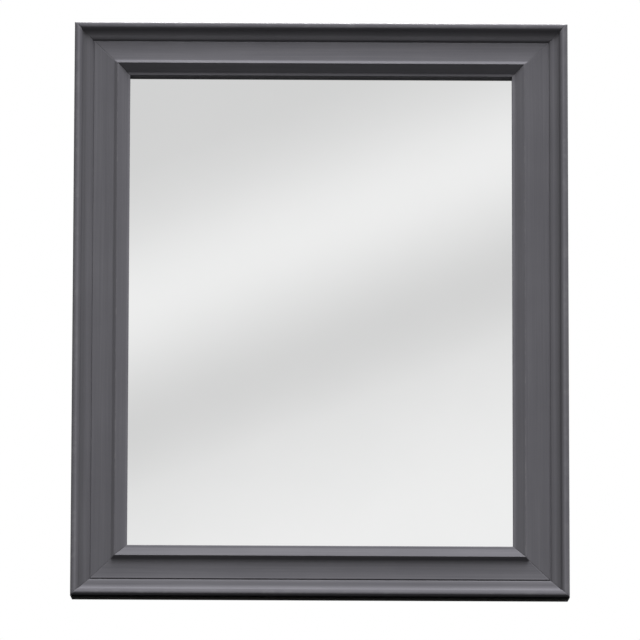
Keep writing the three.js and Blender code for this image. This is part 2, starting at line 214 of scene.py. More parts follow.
class Shader:
    """A material's or world's node tree, with short calls for the nodes used here."""

    def __init__(self, tree):
        self.tree = tree
        tree.nodes.clear()

    def node(self, kind, **settings):
        made = self.tree.nodes.new(kind)
        for key, value in settings.items():
            setattr(made, key, value)
        return made

    def link(self, source, target):
        self.tree.links.new(source, target)

    def feed(self, socket, value):
        """Links an output, or sets a plain value; a colour gets its alpha here."""
        if isinstance(value, bpy.types.NodeSocket):
            self.link(value, socket)
        elif isinstance(value, tuple):
            socket.default_value = (*value, 1)
        else:
            socket.default_value = value

    def math(self, operation, first, second=0.0, clamp=False):
        made = self.node("ShaderNodeMath", operation=operation, use_clamp=clamp)
        self.feed(made.inputs[0], first)
        self.feed(made.inputs[1], second)
        return made.outputs[0]

    def weigh(self, *parts):
        """The sum of several outputs, each times its weight."""
        total = None
        for output, weight in parts:
            part = self.math("MULTIPLY", output, weight)
            total = part if total is None else self.math("ADD", total, part)
        return total

    def coordinates(self, scale=(1, 1, 1)):
        """Object coordinates, which are the row frame's in metres, scaled."""
        place = self.node("ShaderNodeTexCoord")
        mapping = self.node("ShaderNodeMapping")
        mapping.inputs["Scale"].default_value = scale
        self.link(place.outputs["Object"], mapping.inputs["Vector"])
        return mapping.outputs[0]

    def axes(self, kind="Object"):
        """Unscaled coordinates, split into X, Y and Z."""
        place = self.node("ShaderNodeTexCoord")
        split = self.node("ShaderNodeSeparateXYZ")
        self.link(place.outputs[kind], split.inputs[0])
        return split.outputs

    def reach(self):
        """How far a point lies from its object's middle, in metres."""
        made = self.node("ShaderNodeVectorMath", operation="LENGTH")
        self.link(self.coordinates(), made.inputs[0])
        return made.outputs["Value"]

    def noise(self, vector, scale, detail=3.0, roughness=0.55):
        made = self.node("ShaderNodeTexNoise")
        self.link(vector, made.inputs["Vector"])
        made.inputs["Scale"].default_value = scale
        made.inputs["Detail"].default_value = detail
        made.inputs["Roughness"].default_value = roughness
        return made.outputs["Fac"]

    def ramp(self, factor, stops, interpolation="LINEAR"):
        """A colour ramp from (position, colour or grey) stops."""
        made = self.node("ShaderNodeValToRGB")
        made.color_ramp.interpolation = interpolation
        elements = made.color_ramp.elements
        while len(elements) < len(stops):
            elements.new(0.5)
        for element, (position, colour) in zip(elements, stops):
            element.position = position
            element.color = (*colour, 1) if isinstance(colour, tuple) else (colour, colour, colour, 1)
        self.feed(made.inputs["Fac"], factor)
        return made.outputs["Color"]

    def tones(self, factor, positions, colours):
        """A colour ramp through a finish's colours, each at its own position."""
        return self.ramp(factor, list(zip(positions, colours)))

    def blend(self, kind, factor, first, second):
        made = self.node("ShaderNodeMix", data_type="RGBA", blend_type=kind)
        self.feed(made.inputs["Factor"], factor)
        for name, value in (("A", first), ("B", second)):
            self.feed(next(s for s in made.inputs if s.name == name and s.type == "RGBA"), value)
        return next(s for s in made.outputs if s.type == "RGBA")

    def remap(self, value, source=(0, 1), target=(0, 1)):
        """A value taken from one range to another and kept inside it."""
        made = self.node("ShaderNodeMapRange")
        self.feed(made.inputs["Value"], value)
        for name, limit in zip(("From Min", "From Max", "To Min", "To Max"), (*source, *target)):
            made.inputs[name].default_value = limit
        return made.outputs[0]

    def bump(self, height, distance, strength, after=None):
        """A bump of a distance in millimetres, on top of another one if there is one."""
        made = self.node("ShaderNodeBump")
        made.inputs["Strength"].default_value = strength
        made.inputs["Distance"].default_value = distance * MM
        self.link(height, made.inputs["Height"])
        if after is not None:
            self.link(after, made.inputs["Normal"])
        return made.outputs[0]

    def plain(self, kind, color=None):
        """A diffuse, emission or transparent shader with nothing but its colour set."""
        made = self.node(kind)
        if color is not None:
            self.feed(made.inputs["Color"], color)
        return made.outputs[0]

    def mix(self, factor, first, second):
        """One shader that gives way to another as the factor rises."""
        made = self.node("ShaderNodeMixShader")
        for socket, value in zip(made.inputs, (factor, first, second)):
            self.link(value, socket)
        return made.outputs[0]

    def surface(self, color, roughness, metallic=0.0, normal=None):
        """The Principled shader at the end of a material."""
        made = self.node("ShaderNodeBsdfPrincipled")
        self.feed(made.inputs["Base Color"], color)
        self.feed(made.inputs["Roughness"], roughness)
        made.inputs["Metallic"].default_value = metallic
        if normal is not None:
            self.link(normal, made.inputs["Normal"])
        self.output(made.outputs[0])

    def output(self, shader):
        is_world = isinstance(self.tree.id_data, bpy.types.World)
        kind = "ShaderNodeOutputWorld" if is_world else "ShaderNodeOutputMaterial"
        self.link(shader, self.node(kind).inputs["Surface"])


def new_material(name):
    made = bpy.data.materials.new(name)
    made.use_nodes = True
    return made, Shader(made.node_tree)


# ---- Materials ----

# Each finish's colours, in the order in which its ramp runs through them.
PAINT = (0.0925, 0.0905, 0.1020)
PAINT_COLOURS = ((0.079, 0.077, 0.088), PAINT, (0.112, 0.1095, 0.122))
# Rubbed paint on the raised edges, which also serves as their painted highlight.
PAINT_WORN_HIGHLIT = (0.165, 0.162, 0.172)
RAW_BOARD_COLOURS = ((0.22, 0.145, 0.09), (0.40, 0.285, 0.19))
SILVER_COLOURS = ((0.936, 0.940, 0.938), (0.950, 0.952, 0.951))
GLASS_EDGE_COLOURS = ((0.32, 0.47, 0.41), (0.47, 0.62, 0.55))
BACKING_PAINT_COLOURS = ((0.20, 0.22, 0.22), (0.27, 0.29, 0.29))
FOAM_COLOURS = ((0.86, 0.86, 0.84), (0.72, 0.72, 0.70))
HARDBOARD_COLOURS = ((0.125, 0.068, 0.036), (0.19, 0.108, 0.06), (0.27, 0.165, 0.098))
ZINC_COLOURS = ((0.56, 0.60, 0.64), (0.66, 0.67, 0.67), (0.70, 0.68, 0.61))
RUBBER_COLOURS = ((0.022, 0.022, 0.023), (0.06, 0.058, 0.055))

# Lines along the moulding where its painted highlights, its painted shade and its rubbed edges change, in
# millimetres in from the outer side.
CREST_LINE = CREST_RADIUS + 2
COVE_LINE = CREST_RADIUS + SHOULDER_WIDTH + 0.8
BULGE_LINE = CREST_RADIUS + SHOULDER_WIDTH + COVE_WIDTH + 1.2
QUIRK_LINE = CREST_RADIUS + SHOULDER_WIDTH + COVE_WIDTH + BULGE_WIDTH
NOSE_LINE = FACE_WIDTH - LIP_WIDTH - SLOPE_WIDTH - 0.3
LIP_LINE = FACE_WIDTH - 3
LIP_EDGE_LINE = FACE_WIDTH - LIP_RADIUS

# What the paint's colour is multiplied by there, on the rails (X) and on the stiles (Z): painted light that
# makes the rails lighter and the stiles darker, painted shade in the stiles' coves, and painted highlights on
# the crest and the lip.
SIDE_LIGHT_TONES = {"X": 1.06, "Z": 0.93}
# Painted shade in the coves: deep on the stiles, none on the rails.
COVE_SHADE_TONES = {"X": 1.06, "Z": 0.64}
# Painted highlights along the crest and along the lip.
CREST_HIGHLIGHT = 1.3
LIP_HIGHLIGHT = 1.22
WORN_HIGHLIGHT_WIDTH = 0.016  # half of a rubbed, highlighted edge, as a share of the moulding's face


def lengthwise(shader, along, fine, coarse):
    """Object coordinates squeezed along one axis, so that noise runs in streaks along it."""
    return shader.coordinates(tuple(coarse if axis == along else fine for axis in "XYZ"))


def across_moulding(shader, along):
    """How far in from the frame's outer side a point lies, 0 at the side and 1 at the sight edge."""
    across = "Z" if along == "X" else "X"
    half = (FRAME_HEIGHT if along == "X" else FRAME_WIDTH) / 2 * MM
    distance = shader.math("ABSOLUTE", shader.axes()[across])
    inward = shader.math("SUBTRACT", half, distance)
    return shader.math("DIVIDE", inward, FACE_WIDTH * MM)


def painted_light_tone(shader, along):
    """What the paint's colour is multiplied by: painted highlights on the crest and the lip, painted shade in
    the quirk and in the stiles' coves, and the rails lighter than the stiles for how the light falls on them."""
    lines = (CREST_LINE, COVE_LINE, BULGE_LINE, QUIRK_LINE, LIP_LINE)
    crest, cove, bulge, quirk, lip = (line / FACE_WIDTH for line in lines)
    side_light, deep = SIDE_LIGHT_TONES[along], COVE_SHADE_TONES[along]
    # Painted highlight on the crest, painted shade in the cove and the quirk, painted highlight on the lip.
    stops = [(crest - 0.03, 0.95), (crest, CREST_HIGHLIGHT), (crest + 0.03, 0.9 * side_light), (cove, deep),
             (cove + 0.05, deep + 0.06), (bulge, 0.98 * side_light), (quirk - 0.01, 0.84 * side_light),
             (quirk + 0.03, side_light), (lip - 0.02, side_light), (lip + 0.01, LIP_HIGHLIGHT)]
    return shader.ramp(across_moulding(shader, along), stops)


def worn_and_highlit_edges(shader, along):
    """White along the moulding's raised edges, the crest, the step's nose and the lip: rubbed paint there,
    and a painted highlight where those edges catch the light.
    """
    crest, nose, lip = (line / FACE_WIDTH for line in (CREST_LINE, NOSE_LINE, LIP_EDGE_LINE))
    stops = [(0, 0.25), (crest, 1.0), (crest + 2 * WORN_HIGHLIGHT_WIDTH, 0.0), (nose - WORN_HIGHLIGHT_WIDTH, 0.0), (nose, 1.0),
             (nose + WORN_HIGHLIGHT_WIDTH, 0.0), (lip - WORN_HIGHLIGHT_WIDTH, 0.0), (lip, 0.9), (1, 0.4)]
    return shader.ramp(across_moulding(shader, along), stops)


def make_paint(along):
    """Satin charcoal paint, brushed along the moulding, with painted highlights and painted shade across it.
    """
    made, shader = new_material("paint_along_" + along.lower())
    streaks = shader.noise(lengthwise(shader, along, fine=420, coarse=5), scale=1, detail=5, roughness=0.62)
    bands = shader.noise(lengthwise(shader, along, fine=90, coarse=1.6), scale=1, detail=2)
    clouds = shader.noise(shader.coordinates(), scale=9, detail=4, roughness=0.6)
    peel = shader.noise(shader.coordinates(), scale=1150, detail=2)
    rubs = shader.noise(shader.coordinates(), scale=60, detail=6, roughness=0.7)
    tone = shader.weigh((streaks, 0.45), (clouds, 0.3), (bands, 0.25))
    color = shader.tones(tone, (0.34, 0.5, 0.66), PAINT_COLOURS)
    # Painted highlights and painted shade across the moulding.
    color = shader.blend("MULTIPLY", 1.0, color, painted_light_tone(shader, along))
    scuffs = shader.ramp(rubs, [(0.5, 0.0), (0.78, 0.8)])
    # Rubbed edges, broken up by the scuffs, which are painted highlights as well.
    wear_and_highlight = shader.math("MULTIPLY", worn_and_highlit_edges(shader, along), scuffs, clamp=True)
    color = shader.blend("MIX", wear_and_highlight, color, PAINT_WORN_HIGHLIT)
    rough = shader.remap(shader.weigh((streaks, 0.5), (clouds, 0.5)), target=(0.36, 0.56))
    brushed = shader.bump(streaks, distance=0.22, strength=0.35)
    pebbled = shader.bump(peel, distance=0.06, strength=0.5, after=brushed)
    shader.surface(color, rough, normal=pebbled)
    return made


def make_raw_board(along):
    """Bare fibreboard at the back and in the rebate, with paint carried round from the outer side."""
    made, shader = new_material("raw_along_" + along.lower())
    fibres = shader.noise(shader.coordinates(), scale=900, detail=5, roughness=0.7)
    saw = shader.noise(lengthwise(shader, along, fine=35, coarse=420), scale=1, detail=3)
    clouds = shader.noise(shader.coordinates(), scale=14, detail=3)
    bare = shader.tones(shader.weigh((fibres, 0.6), (clouds, 0.4)), (0.36, 0.62), RAW_BOARD_COLOURS)
    ragged = shader.weigh((across_moulding(shader, along), 1.0), (clouds, 0.12))
    overspray = shader.ramp(ragged, [(0.075, 1.0), (0.15, 0.0)])
    color = shader.blend("MIX", overspray, bare, PAINT)
    sawn = shader.bump(saw, distance=0.2, strength=0.4)
    fuzzy = shader.bump(fibres, distance=0.12, strength=0.6, after=sawn)
    shader.surface(color, shader.remap(fibres, target=(0.72, 0.95)), normal=fuzzy)
    return made


def make_silver():
    """Silvered glass, seen from the front: hardly any colour, and a breath of haze."""
    made, shader = new_material("silver")
    haze = shader.noise(shader.coordinates(), scale=5, detail=5, roughness=0.65)
    shader.surface(shader.tones(haze, (0.35, 0.65), SILVER_COLOURS), 0.0, metallic=1.0)
    return made


def make_glass_edge():
    """The pane's ground edge, pale green and matt."""
    made, shader = new_material("glass_edge")
    grind = shader.noise(shader.coordinates(), scale=1400, detail=3)
    color = shader.tones(grind, (0.35, 0.65), GLASS_EDGE_COLOURS)
    rough = shader.remap(grind, target=(0.3, 0.5))
    shader.surface(color, rough, normal=shader.bump(grind, distance=0.05, strength=0.6))
    return made


def make_backing_paint():
    """The grey paint that protects the silvering."""
    made, shader = new_material("backing_paint")
    roller = shader.noise(shader.coordinates(), scale=260, detail=4)
    color = shader.tones(roller, (0.35, 0.65), BACKING_PAINT_COLOURS)
    rough = shader.remap(roller, target=(0.5, 0.7))
    shader.surface(color, rough, normal=shader.bump(roller, distance=0.04, strength=0.6))
    return made


def make_foam():
    """White polyethylene foam sheet with small closed cells."""
    made, shader = new_material("foam")
    voronoi = shader.node("ShaderNodeTexVoronoi")
    voronoi.inputs["Scale"].default_value = 900
    shader.link(shader.coordinates(), voronoi.inputs["Vector"])
    cells = voronoi.outputs["Distance"]
    color = shader.tones(cells, (0.1, 0.7), FOAM_COLOURS)
    shader.surface(color, 0.85, normal=shader.bump(cells, distance=0.3, strength=0.7))
    return made


def hardboard_ribs(shader, axis):
    """One set of the ribs that the press's screen leaves."""
    wave = shader.node("ShaderNodeTexWave", bands_direction=axis)
    wave.inputs["Scale"].default_value = 150
    wave.inputs["Distortion"].default_value = 0.6
    shader.link(shader.coordinates(), wave.inputs["Vector"])
    return wave.outputs["Fac"]


def make_hardboard():
    """Brown hardboard with its pressed mesh showing on the back."""
    made, shader = new_material("hardboard")
    fibres = shader.noise(shader.coordinates((1, 1, 2.2)), scale=520, detail=6, roughness=0.72)
    clouds = shader.noise(shader.coordinates(), scale=6, detail=4)
    color = shader.tones(shader.weigh((fibres, 0.55), (clouds, 0.45)), (0.35, 0.5, 0.66), HARDBOARD_COLOURS)
    mesh = shader.math("MAXIMUM", hardboard_ribs(shader, "X"), hardboard_ribs(shader, "Z"))
    pressed = shader.bump(mesh, distance=0.12, strength=0.45)
    fibrous = shader.bump(fibres, distance=0.2, strength=0.4, after=pressed)
    shader.surface(color, shader.remap(fibres, target=(0.55, 0.8)), normal=fibrous)
    return made


def make_zinc():
    """Zinc-plated steel, with a faint blue and yellow passivation and fine rolling marks."""
    made, shader = new_material("zinc")
    tint = shader.noise(shader.coordinates(), scale=120, detail=3)
    marks = shader.noise(shader.coordinates((1, 1, 0.12)), scale=2600, detail=3)
    color = shader.tones(tint, (0.3, 0.52, 0.7), ZINC_COLOURS)
    rough = shader.remap(marks, target=(0.26, 0.46))
    shader.surface(color, rough, metallic=1.0, normal=shader.bump(marks, distance=0.03, strength=0.5))
    return made


def make_rubber():
    """Moulded black rubber, slightly dusty."""
    made, shader = new_material("rubber")
    grain = shader.noise(shader.coordinates(), scale=1500, detail=3)
    dust = shader.noise(shader.coordinates(), scale=160, detail=4)
    color = shader.tones(dust, (0.4, 0.72), RUBBER_COLOURS)
    rough = shader.remap(grain, target=(0.6, 0.85))
    shader.surface(color, rough, normal=shader.bump(grain, distance=0.08, strength=0.7))
    return made


# The rails' and the stiles' paints are lit and shaded copies of one paint, each brushed its own way: painted
# lighter on the rails, and painted darker on the stiles with painted shade in their coves.
PAINTS = {along: make_paint(along) for along in "XZ"}
RAW_BOARDS = {along: make_raw_board(along) for along in "XZ"}
SILVER = make_silver()
GLASS_EDGE = make_glass_edge()
BACKING_PAINT = make_backing_paint()
FOAM = make_foam()
HARDBOARD = make_hardboard()
ZINC = make_zinc()
RUBBER = make_rubber()


# ---- Mesh helpers ----

SMOOTH_ANGLE = math.radians(32)
BEVEL_ANGLE = math.radians(40)
BEVEL_SEGMENTS = 2


def shift(x, y, z):
    """A move by a distance in millimetres."""
    return Matrix.Translation(Vector((x, y, z)) * MM)


def arc_points(radius, start, end, steps):
    """Points along an arc round the origin, with both of its ends."""
    turns = [start + (end - start) * i / steps for i in range(steps + 1)]
    return [(radius * math.cos(turn), radius * math.sin(turn)) for turn in turns]


def link_mesh(name, mesh, materials):
    made = bpy.data.objects.new(name, mesh)
    for material in materials:
        mesh.materials.append(material)
    bpy.context.collection.objects.link(made)
    return made


def mesh_from(points, faces, matrix=None):
    """A mesh from points in millimetres, with its faces turned to point out."""
    mesh = bpy.data.meshes.new("mesh")
    mesh.from_pydata([tuple(c * MM for c in point) for point in points], [], faces)
    if matrix is not None:
        mesh.transform(matrix)
    work = bmesh.new()
    work.from_mesh(mesh)
    bmesh.ops.recalc_face_normals(work, faces=work.faces)
    work.to_mesh(mesh)
    work.free()
    return mesh


def prism(outline, low, high, matrix=None):
    """An outline in (x, z) given a thickness from y = low to y = high, in millimetres."""
    count = len(outline)
    points = [(x, y, z) for y in (low, high) for x, z in outline]
    faces = [list(range(count)), list(range(2 * count - 1, count - 1, -1))]
    faces += [(i, (i + 1) % count, count + (i + 1) % count, count + i) for i in range(count)]
    return mesh_from(points, faces, matrix)


def lathe(profile, steps, matrix):
    """A profile of (radius, y) points turned round the Y axis; it starts and ends on the axis."""
    points = [(0, profile[0][1], 0), (0, profile[-1][1], 0)]
    rings = profile[1:-1]
    for radius, y in rings:
        points += [(x, y, z) for x, z in arc_points(radius, 0, 2 * math.pi, steps)[:-1]]
    last = 2 + (len(rings) - 1) * steps
    faces = []
    for i in range(steps):
        j = (i + 1) % steps
        faces.append((0, 2 + i, 2 + j))
        faces.append((1, last + j, last + i))
        for near in range(2, last, steps):
            far = near + steps
            faces.append((near + i, far + i, far + j, near + j))
    return mesh_from(points, faces, matrix)


def bake_modifiers(target):
    """Makes an object's modifiers part of its mesh."""
    graph = bpy.context.evaluated_depsgraph_get()
    graph.update()
    final = bpy.data.meshes.new_from_object(target.evaluated_get(graph))
    target.modifiers.clear()
    target.data = final


def boolean(target, cutter_meshes, operation="DIFFERENCE", slot=0):
    """Cuts meshes out of an object, or keeps what they share, and gives the cut faces a material slot."""
    work = bmesh.new()
    for mesh in cutter_meshes:
        work.from_mesh(mesh)
    for face in work.faces:
        face.material_index = slot
    joined = bpy.data.meshes.new("cutter")
    work.to_mesh(joined)
    work.free()
    cutter = link_mesh("cutter", joined, list(target.data.materials))
    modifier = target.modifiers.new("boolean", "BOOLEAN")
    modifier.operation = operation
    modifier.solver = "EXACT"
    modifier.object = cutter
    bake_modifiers(target)
    bpy.data.objects.remove(cutter)


def ease_edges(target, width):
    """Rounds an object's sharp edges by a width in millimetres."""
    modifier = target.modifiers.new("bevel", "BEVEL")
    modifier.width = width * MM
    modifier.segments = BEVEL_SEGMENTS
    modifier.limit_method = "ANGLE"
    modifier.angle_limit = BEVEL_ANGLE
    bake_modifiers(target)


def finish_piece(piece, body, node):
    """Shades a piece smoothly up to its sharp edges, puts it on its body and hides the CAD node that it
    stands for.
    """
    piece.data.shade_smooth()
    piece.data.set_sharp_from_angle(angle=SMOOTH_ANGLE)
    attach(piece, body)
    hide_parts(node)


# ---- The moulding ----

def bend_to(points, end_u, end_h, slope_out, slope_in):
    """A curve from the last point that leaves at one slope and arrives at another."""
    start_u, start_h = points[-1][:2]
    out_u, out_h = math.cos(slope_out), math.sin(slope_out)
    in_u, in_h = math.cos(slope_in), math.sin(slope_in)
    reach = ((end_u - start_u) * in_h - (end_h - start_h) * in_u) / (out_u * in_h - out_h * in_u)
    corner_u, corner_h = start_u + out_u * reach, start_h + out_h * reach
    for i in range(1, CURVE_STEPS + 1):
        t = i / CURVE_STEPS
        points.append(((1 - t) ** 2 * start_u + 2 * t * (1 - t) * corner_u + t * t * end_u,
                       (1 - t) ** 2 * start_h + 2 * t * (1 - t) * corner_h + t * t * end_h, 0))


def eased(points):
    """Rounds each corner of a closed outline by the radius that its point carries."""
    result = []
    count = len(points)
    for i, (u, h, radius) in enumerate(points):
        if not radius:
            result.append((u, h))
            continue
        corner = Vector((u, h))
        before = Vector(points[i - 1][:2]) - corner
        after = Vector(points[(i + 1) % count][:2]) - corner
        start = corner + before.normalized() * min(radius, before.length * EASED_SHARE)
        end = corner + after.normalized() * min(radius, after.length * EASED_SHARE)
        for step in range(EASED_STEPS + 1):
            t = step / EASED_STEPS
            point = start * (1 - t) ** 2 + corner * 2 * t * (1 - t) + end * t * t
            result.append((point.x, point.y))
    return result


def moulding_section():
    """The section as (u, h): u runs in from the outer side, h up from the back plane."""
    points = [(SIDE_LEAN, 0, EASED_EDGE), (0, CREST_TOP - CREST_RADIUS, 0)]
    points += [(CREST_RADIUS + x, CREST_TOP - CREST_RADIUS + y, 0)
               for x, y in arc_points(CREST_RADIUS, math.pi, math.pi / 2, CURVE_STEPS)[1:]]
    u = CREST_RADIUS + SHOULDER_WIDTH
    bend_to(points, u, SHOULDER_FOOT, 0, -SHOULDER_FALL)
    u += COVE_WIDTH
    bend_to(points, u, COVE_FOOT, -SHOULDER_FALL, -BULGE_FALL_OUTER)
    u += BULGE_WIDTH
    bend_to(points, u, FLAT_TOP, -BULGE_FALL_OUTER, -BULGE_FALL_INNER)
    points.append((u + QUIRK_WIDTH / 3, FLAT_TOP - QUIRK_DEPTH, EASED_QUIRK))
    points.append((u + QUIRK_WIDTH * 2 / 3, FLAT_TOP - QUIRK_DEPTH, EASED_QUIRK))
    u += QUIRK_WIDTH
    points.append((u, FLAT_TOP, 0))
    u += FLAT_WIDTH
    bend_to(points, u, FLAT_TOP, -SCOOP_TILT, SCOOP_TILT)
    slope_fall = math.atan2(SLOPE_RISE, SLOPE_WIDTH)
    foot_rise = STEP_FOOT_WIDTH * math.tan(STEP_TILT) / 3
    bend_to(points, u + STEP_FOOT_WIDTH, FLAT_TOP + foot_rise, SCOOP_TILT, STEP_TILT)
    u += STEP_WIDTH
    nose_run = STEP_WIDTH - STEP_NOSE_WIDTH - STEP_FOOT_WIDTH
    points.append((u - STEP_NOSE_WIDTH, FLAT_TOP + foot_rise + nose_run * math.tan(STEP_TILT), 0))
    bend_to(points, u, STEP_TOP, STEP_TILT, -slope_fall)
    u += SLOPE_WIDTH
    points.append((u, LIP_TOP, 0))
    bend_to(points, FACE_WIDTH - LIP_RADIUS, LIP_TOP - LIP_WIDTH * math.tan(LIP_FALL), -slope_fall, -LIP_FALL)
    bend_to(points, FACE_WIDTH, points[-1][1] - LIP_RADIUS, -LIP_FALL, -math.pi / 2)
    points.append((FACE_WIDTH, REBATE_DEPTH, EASED_QUIRK))
    points.append((REBATE_U, REBATE_DEPTH, 0))
    points.append((REBATE_U, 0, EASED_EDGE))
    return eased(points)


def is_bare(first, second):
    """Whether a stretch of the section lies in the rebate or on the back plane."""
    nearest, furthest = sorted((first[0], second[0]))
    highest = max(first[1], second[1])
    in_rebate = nearest > REBATE_U - ON_PLANE and highest < REBATE_DEPTH + ON_PLANE
    return highest < ON_PLANE or in_rebate and furthest < FACE_WIDTH - SIGHT_EDGE


def shrunk(section, amount):
    """The section drawn in by an amount along its own normals."""
    result = []
    count = len(section)
    for i, point in enumerate(section):
        along = Vector(section[(i + 1) % count]) - Vector(section[i - 1])
        inward = Vector((along.y, -along.x)).normalized()
        result.append((point[0] + inward.x * amount, point[1] + inward.y * amount))
    return result


def moulding_mesh(length, across, matrix):
    """One length along the bottom of a frame, both ends cut on the mitre and their edges eased."""
    section = moulding_section()
    end = shrunk(section, MITRE_EASING)
    left = [(-1, end, 0), (-1, section, MITRE_RUN), (-1, section, MITRE_RUN + MITRE_SHADING)]
    stations = left + [(1, outline, back) for _, outline, back in reversed(left)]
    points = []
    for side, outline, back in stations:
        points += [(side * (length / 2 - u - MITRE_GAP / 2 - back), -h, u - across / 2) for u, h in outline]
    count = len(section)
    faces = [list(range(count)), list(range(len(points) - count, len(points)))]
    bare = [True, True]
    for near in range(0, len(points) - count, count):
        far = near + count
        for i in range(count):
            j = (i + 1) % count
            faces.append((near + i, near + j, far + j, far + i))
            bare.append(is_bare(section[i], section[j]))
    mesh = mesh_from(points, faces, matrix)
    for polygon, is_raw in zip(mesh.polygons, bare):
        polygon.material_index = int(is_raw)
    return mesh


def v_nail_slots(length, across, matrix):
    """The L-shaped slots across both mitres, with a gap round their V-nails."""
    slots = []
    depth = V_NAIL_HEIGHT + 2 * FIT_GAP
    left = shift(-length / 2, 0, -across / 2)
    right = shift(length / 2, 0, -across / 2) @ Matrix.Rotation(-math.pi / 2, 4, "Y")
    for inset in V_NAIL_INSETS:
        near = inset - V_NAIL_THICKNESS / 2 - FIT_GAP
        inner = inset + V_NAIL_THICKNESS / 2 + FIT_GAP
        far = inset + V_NAIL_LEG + FIT_GAP
        outline = [(near, near), (far, near), (far, inner), (inner, inner), (inner, far), (near, far)]
        slots += [prism(outline, -depth, FIT_GAP, matrix @ place) for place in (left, right)]
    return slots


def point_slots(count, length, across, matrix):
    """The slots that framer's points are driven into."""
    half = POINT_WIDTH / 2 + FIT_GAP
    deep = -POINT_DRIVEN_DEPTH - FIT_GAP
    out = POINT_LENGTH - POINT_DRIVEN_DEPTH + FIT_GAP
    outline = [(0, deep), (half, deep / 2), (half, out), (-half, out), (-half, deep / 2)]
    low = -POINT_FRONT - FIT_GAP
    high = POINT_THICKNESS - POINT_FRONT + FIT_GAP
    run = length - 2 * REBATE_U
    places = [shift(run * ((i + 0.5) / count - 0.5), 0, REBATE_U - across / 2) for i in range(count)]
    return [prism(outline, low, high, matrix @ place) for place in places]


def screw_holes(upward, across, matrix):
    """The holes for a strap's screws; upward says which way along the length is up."""
    radius = SCREW_RADIUS + FIT_GAP
    deep = STRAP_BACK - SCREW_LENGTH
    profile = [(0, deep), (radius, deep), (radius, FIT_GAP), (0, FIT_GAP)]
    places = [shift(upward * (RING_AXIS_HEIGHT - drop), 0, STRAP_INSET - across / 2)
              for drop in SCREW_DROPS.values()]
    return [lathe(profile, SCREW_HOLE_STEPS, matrix @ place) for place in places]


SIDES = [
    {"node": "bottom_rail", "turn": 0, "along": "X", "points": 3, "upward": 0},
    {"node": "left_stile", "turn": 1, "along": "Z", "points": 4, "upward": -1},
    {"node": "top_rail", "turn": 2, "along": "X", "points": 3, "upward": 0},
    {"node": "right_stile", "turn": 3, "along": "Z", "points": 4, "upward": 1},
]


def add_side(side):
    """One length of moulding with its slots and holes, turned into its place in the frame."""
    length, across = FRAME_WIDTH, FRAME_HEIGHT
    if side["along"] == "Z":
        length, across = across, length
    matrix = shift(0, -STAND_OFF, 0) @ Matrix.Rotation(side["turn"] * math.pi / 2, 4, "Y")
    materials = [PAINTS[side["along"]], RAW_BOARDS[side["along"]]]
    piece = link_mesh(side["node"] + "_painted", moulding_mesh(length, across, matrix), materials)
    cutters = v_nail_slots(length, across, matrix) + point_slots(side["points"], length, across, matrix)
    if side["upward"]:
        cutters += screw_holes(side["upward"], across, matrix)
    boolean(piece, cutters, slot=1)
    finish_piece(piece, "frame", side["node"])


# ---- Sheets in the rebate ----

def box_outline(low, high, inset=0.0):
    """A box's outline seen from the front, in millimetres, drawn in by an inset."""
    return [(low.x / MM + inset, low.z / MM + inset), (high.x / MM - inset, low.z / MM + inset),
            (high.x / MM - inset, high.z / MM - inset), (low.x / MM + inset, high.z / MM - inset)]


def add_pane():
    """The silvered pane: front face silver, ground edges, painted back."""
    low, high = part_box("mirror_glass")
    front, back = low.y / MM, high.y / MM
    rings = [(front, GLASS_ARRIS), (front + GLASS_ARRIS, 0), (back - GLASS_ARRIS, 0), (back, GLASS_ARRIS)]
    points = [(x, y, z) for y, inset in rings for x, z in box_outline(low, high, inset)]
    faces = [(0, 1, 2, 3), (15, 14, 13, 12)]
    for near in (0, 4, 8):
        faces += [(near + i, near + (i + 1) % 4, near + 4 + (i + 1) % 4, near + 4 + i) for i in range(4)]
    mesh = mesh_from(points, faces)
    for polygon in mesh.polygons:
        polygon.material_index = 1
    mesh.polygons[0].material_index = 0
    mesh.polygons[1].material_index = 2
    piece = link_mesh("silvered_pane", mesh, [SILVER, GLASS_EDGE, BACKING_PAINT])
    finish_piece(piece, "frame", "mirror_glass")


def add_board():
    """The hardboard back, with its edges just eased."""
    low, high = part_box("backing_board")
    sheet = prism(box_outline(low, high), low.y / MM, high.y / MM)
    piece = link_mesh("hardboard_back", sheet, [HARDBOARD])
    ease_edges(piece, BOARD_EASING)
    finish_piece(piece, "frame", "backing_board")


# ---- Hangers ----

def hanger_matrix(side):
    """The middle of a ring's bar: x across the strap, y away from the frame, z up."""
    return shift(side * (FRAME_WIDTH / 2 - STRAP_INSET), -STAND_OFF + FIT_GAP + EYE_OUTER, RING_AXIS_HEIGHT)


def strap_profile():
    """The folded strip from its side, as (up, out) from the ring's bar, with a seam between its layers."""
    foot = -STRAP_LENGTH
    outer_meet = math.pi - math.asin((STRAP_BACK - EYE_OUTER) / EYE_OUTER)
    seam_low = STRAP_THICKNESS - EYE_OUTER
    seam_high = seam_low + STRAP_SEAM
    inner_start = math.pi - math.asin(seam_high / EYE_INNER)
    points = [(foot, -EYE_OUTER)]
    points += arc_points(EYE_OUTER, -math.pi / 2, outer_meet, EYE_STEPS)
    points += [(foot, STRAP_BACK - EYE_OUTER), (foot, seam_high)]
    points += arc_points(EYE_INNER, inner_start, -math.pi / 2, EYE_STEPS)
    points += [(foot, seam_low)]
    return points


def strap_face():
    """The strap seen from behind, with a round lower end."""
    half = STRAP_WIDTH / 2
    lower = [(x, z + half - STRAP_LENGTH) for x, z in arc_points(half, -math.pi, 0, STRAP_STEPS)]
    top = EYE_OUTER + STRAP_SPARE
    return lower + [(half, top), (-half, top)]


